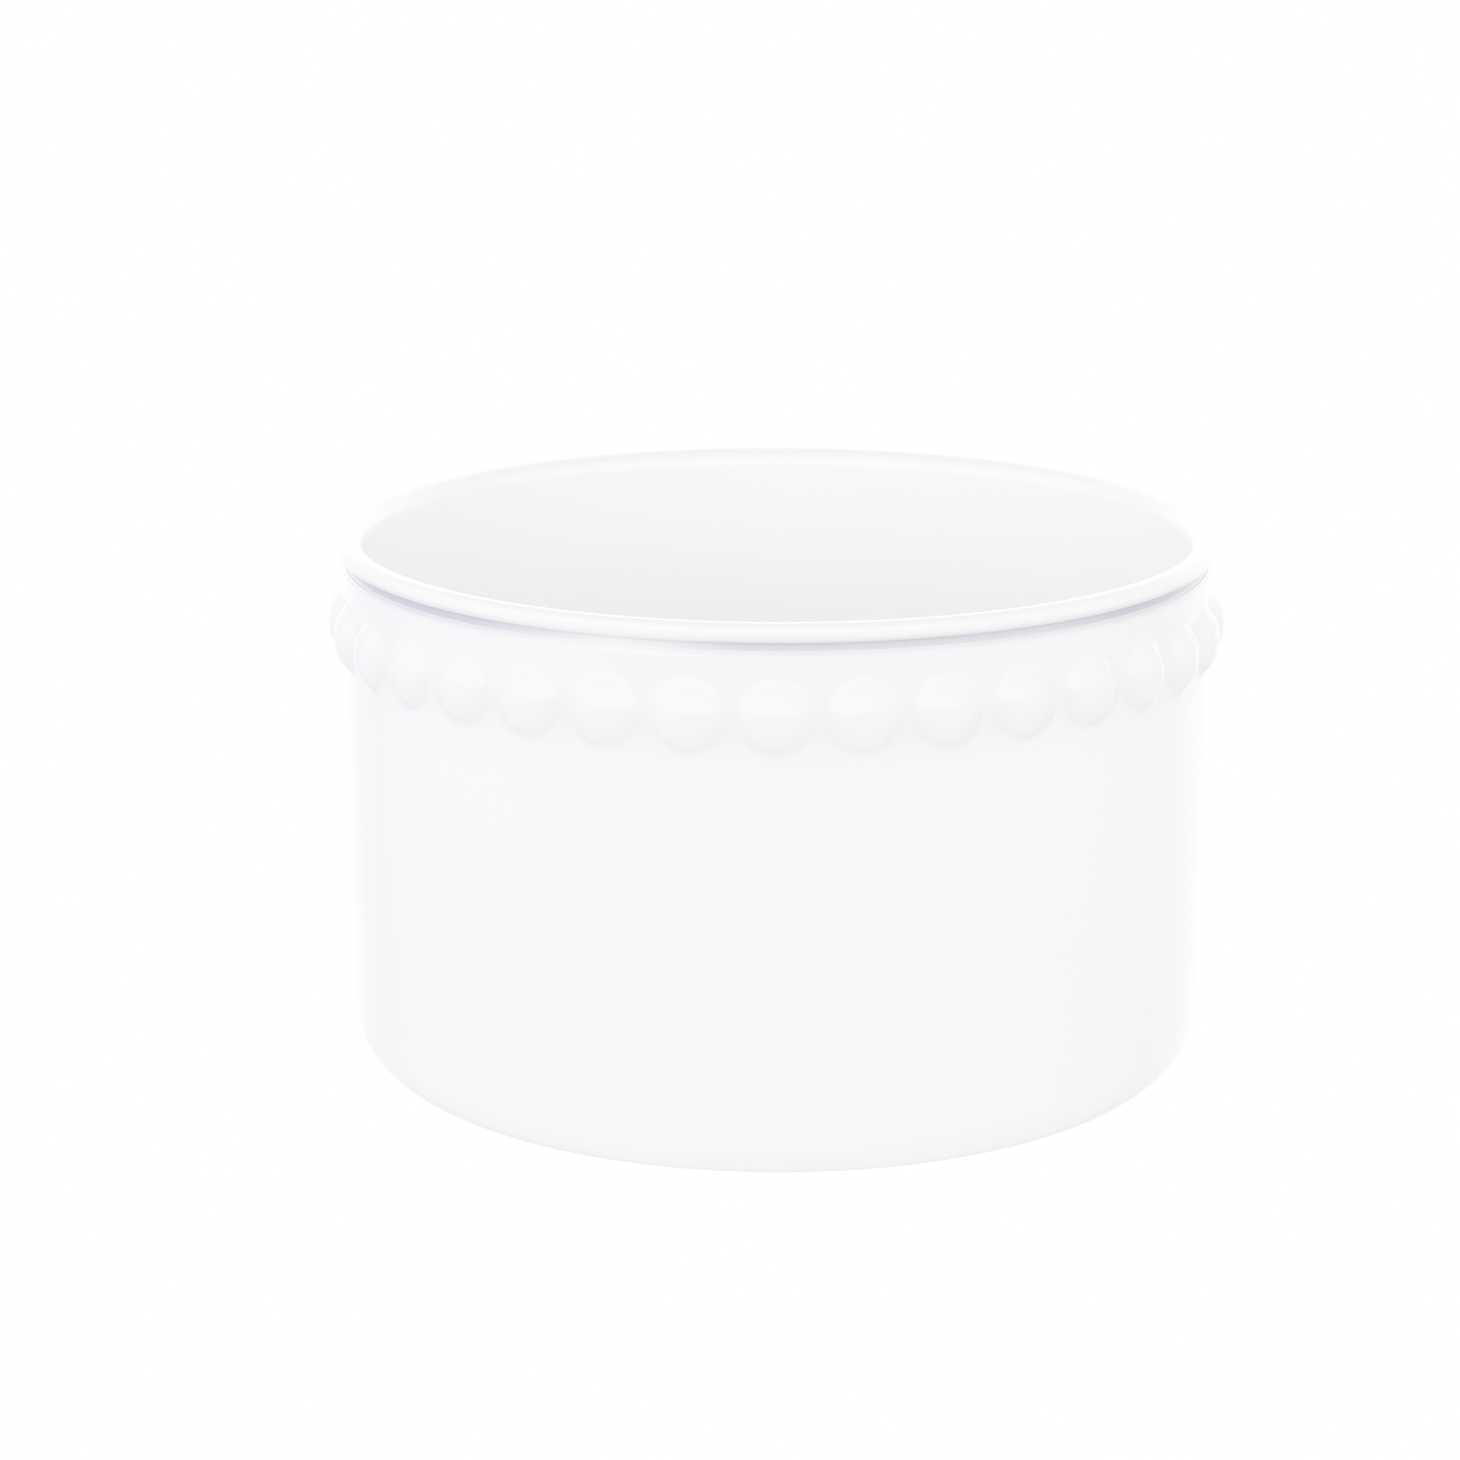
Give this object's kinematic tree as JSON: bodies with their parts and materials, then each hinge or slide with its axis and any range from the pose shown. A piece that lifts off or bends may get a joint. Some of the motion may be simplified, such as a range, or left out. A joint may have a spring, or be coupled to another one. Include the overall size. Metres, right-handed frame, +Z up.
{
  "type": "shaving bowl",
  "caption": "Round white porcelain shaving bowl: straight deep wall, rolled rim over a narrow groove, a band of round relief pearls below it, bare foot ring, clear glaze.",
  "frame": {"origin": "centre of the foot ring, on the plane that the bowl stands on", "axes": "+Z up along the bowl's axis, towards the open rim; -Y is the side seen from the front, where pearl_01 is centred"},
  "size_m": [0.102, 0.1024, 0.0624],
  "materials": {
    "porcelain": "unglazed fired porcelain, matt, bare only on the foot ring",
    "pearl_porcelain": "unglazed fired porcelain, matt, under the glaze",
    "glaze": "glossy white glaze",
    "foot_glaze": "glossy white glaze, slightly duller and with a few pinholes"
  },
  "bodies": {
    "root": {"porcelain_body": "porcelain", "pearl_01": "pearl_porcelain", "pearl_02": "pearl_porcelain", "pearl_03": "pearl_porcelain", "pearl_04": "pearl_porcelain", "pearl_05": "pearl_porcelain", "pearl_06": "pearl_porcelain", "pearl_07": "pearl_porcelain", "pearl_08": "pearl_porcelain", "pearl_09": "pearl_porcelain", "pearl_10": "pearl_porcelain", "pearl_11": "pearl_porcelain", "pearl_12": "pearl_porcelain", "pearl_13": "pearl_porcelain", "pearl_14": "pearl_porcelain", "pearl_15": "pearl_porcelain", "pearl_16": "pearl_porcelain", "pearl_17": "pearl_porcelain", "pearl_18": "pearl_porcelain", "pearl_19": "pearl_porcelain", "pearl_20": "pearl_porcelain", "pearl_21": "pearl_porcelain", "pearl_22": "pearl_porcelain", "pearl_23": "pearl_porcelain", "pearl_24": "pearl_porcelain", "pearl_25": "pearl_porcelain", "pearl_26": "pearl_porcelain", "pearl_27": "pearl_porcelain", "pearl_28": "pearl_porcelain", "pearl_29": "pearl_porcelain", "pearl_30": "pearl_porcelain", "pearl_31": "pearl_porcelain", "pearl_32": "pearl_porcelain", "pearl_33": "pearl_porcelain", "pearl_34": "pearl_porcelain", "glaze_coat": "glaze", "foot_well_glaze": "foot_glaze"}
  },
  "joints": []
}
